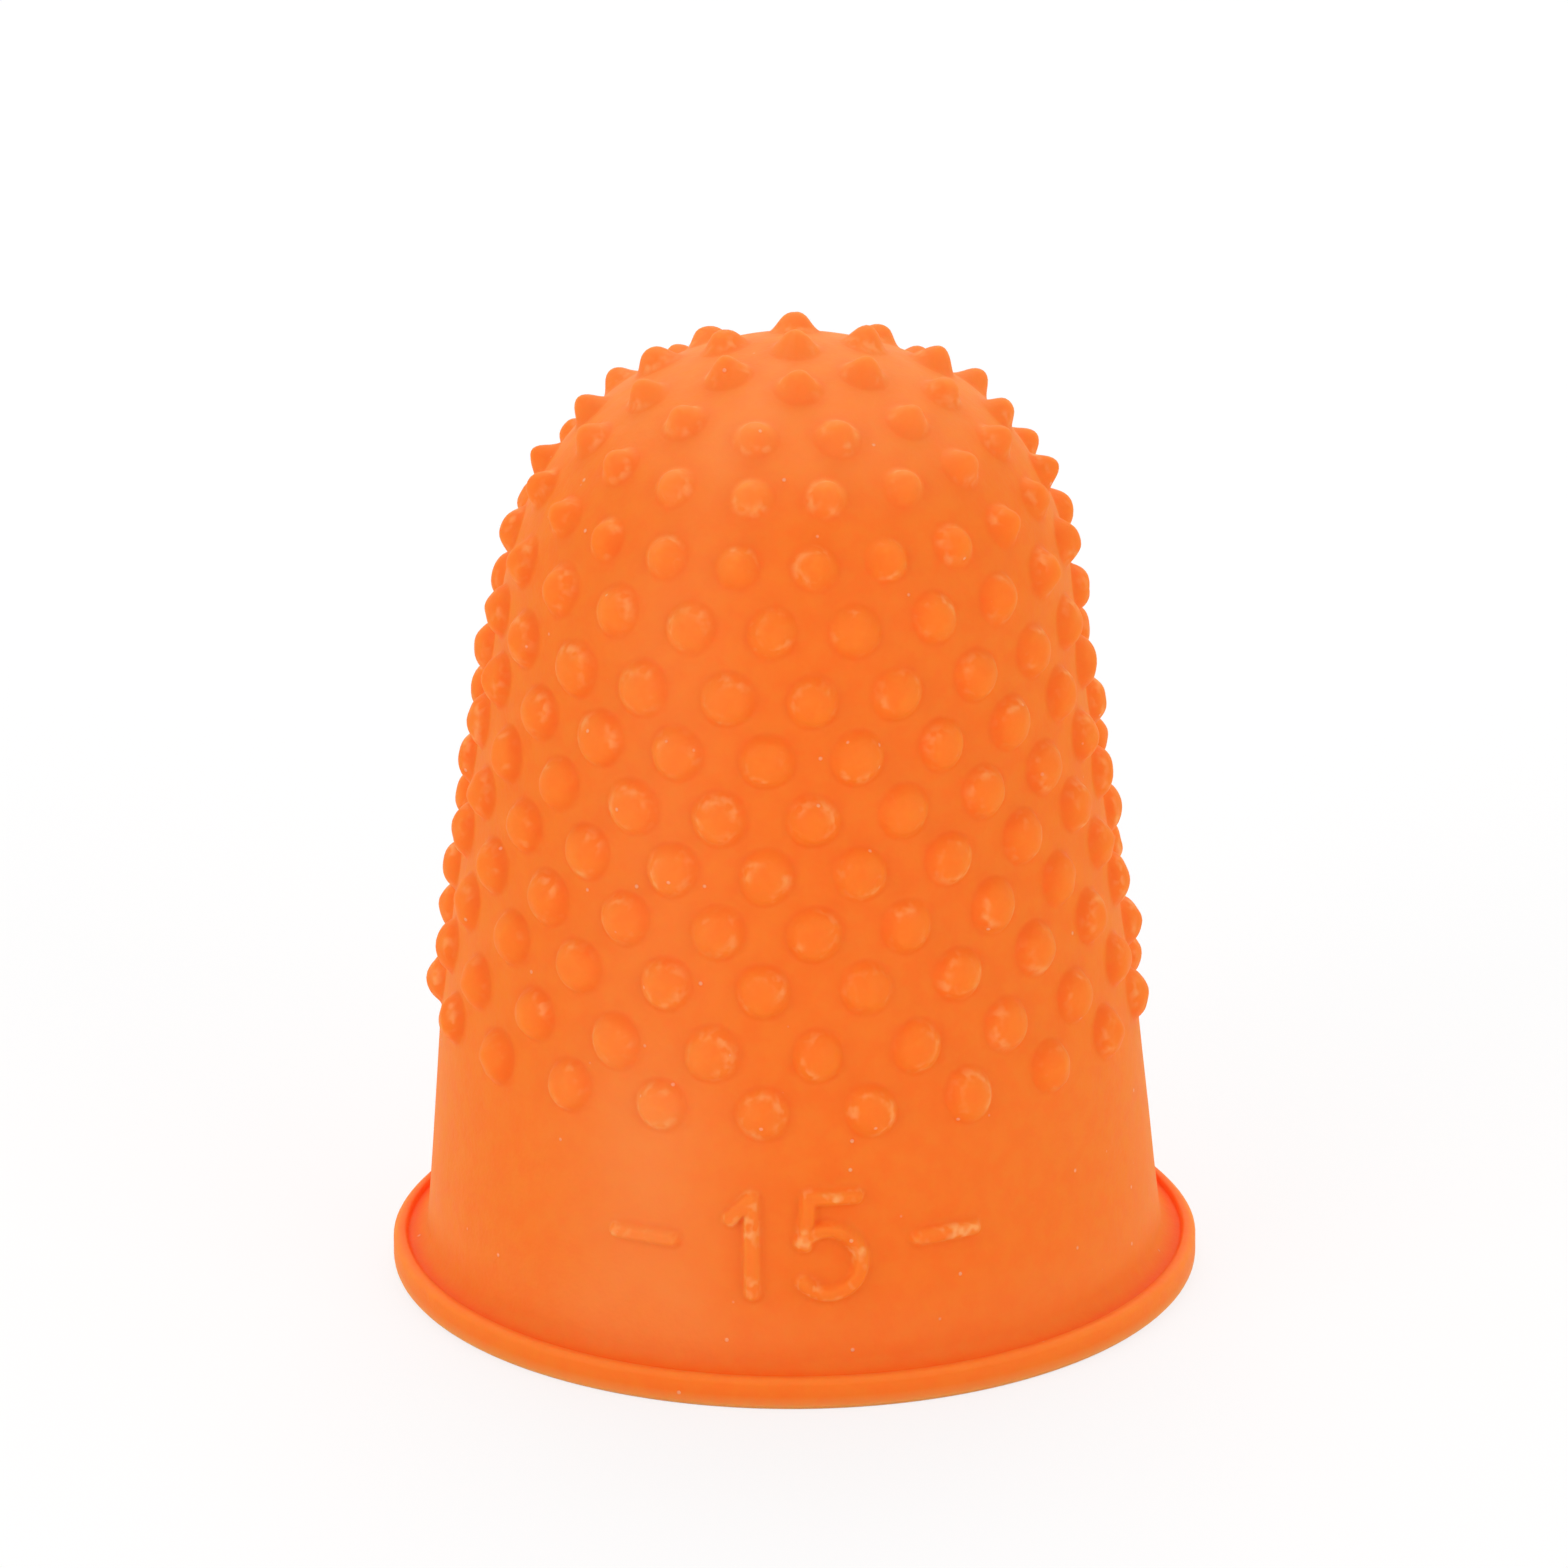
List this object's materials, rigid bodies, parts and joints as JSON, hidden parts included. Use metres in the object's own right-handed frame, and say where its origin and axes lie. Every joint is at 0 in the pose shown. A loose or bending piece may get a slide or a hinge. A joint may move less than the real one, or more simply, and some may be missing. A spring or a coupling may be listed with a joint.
{
  "type": "rubber finger tip",
  "caption": "Rubber finger tip: a tapered, domed cup covered in grip nubs, with a plain skirt and a rim round its open mouth, worn to turn pages.",
  "frame": {"origin": "centre of the mouth, in the plane of the rim's underside", "axes": "+Z along the cup's axis towards the domed tip, -Y towards the front that the picture shows"},
  "size_m": [0.0186, 0.0186, 0.0232],
  "materials": {
    "rubber": "matte orange rubber, slightly translucent"
  },
  "bodies": {
    "root": {"finger_tip": "rubber"}
  },
  "joints": []
}
